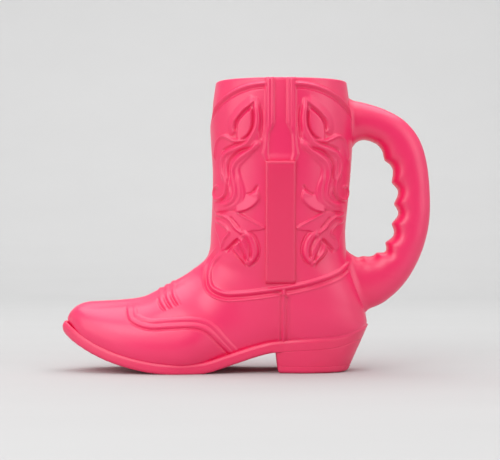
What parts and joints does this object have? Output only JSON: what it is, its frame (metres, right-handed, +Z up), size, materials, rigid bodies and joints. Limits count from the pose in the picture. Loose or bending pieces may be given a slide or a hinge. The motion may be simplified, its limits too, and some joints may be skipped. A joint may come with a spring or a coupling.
{
  "type": "boot mug",
  "caption": "Drinking mug moulded as a western boot: hollow shaft and foot as the cup, outsole with heel, finger-ripple handle on the back, bare name plates on the sides.",
  "frame": {"origin": "on the floor, under the middle of the whole object's box", "axes": "+Z up; -X towards the toe, +X towards the handle; -Y is the boot's left side, the one in the picture"},
  "size_m": [0.2258, 0.08, 0.1764],
  "materials": {
    "body_plastic": "satin moulded pink",
    "sole_plastic": "satin moulded pink",
    "plate_plastic": "satin moulded pink, bare"
  },
  "bodies": {
    "root": {"boot_upper": "body_plastic", "outsole": "sole_plastic", "heel_block": "sole_plastic", "heel_cap": "sole_plastic", "handle_left": "body_plastic", "handle_right": "body_plastic", "name_plate_left": "plate_plastic", "name_plate_right": "plate_plastic"}
  },
  "joints": []
}
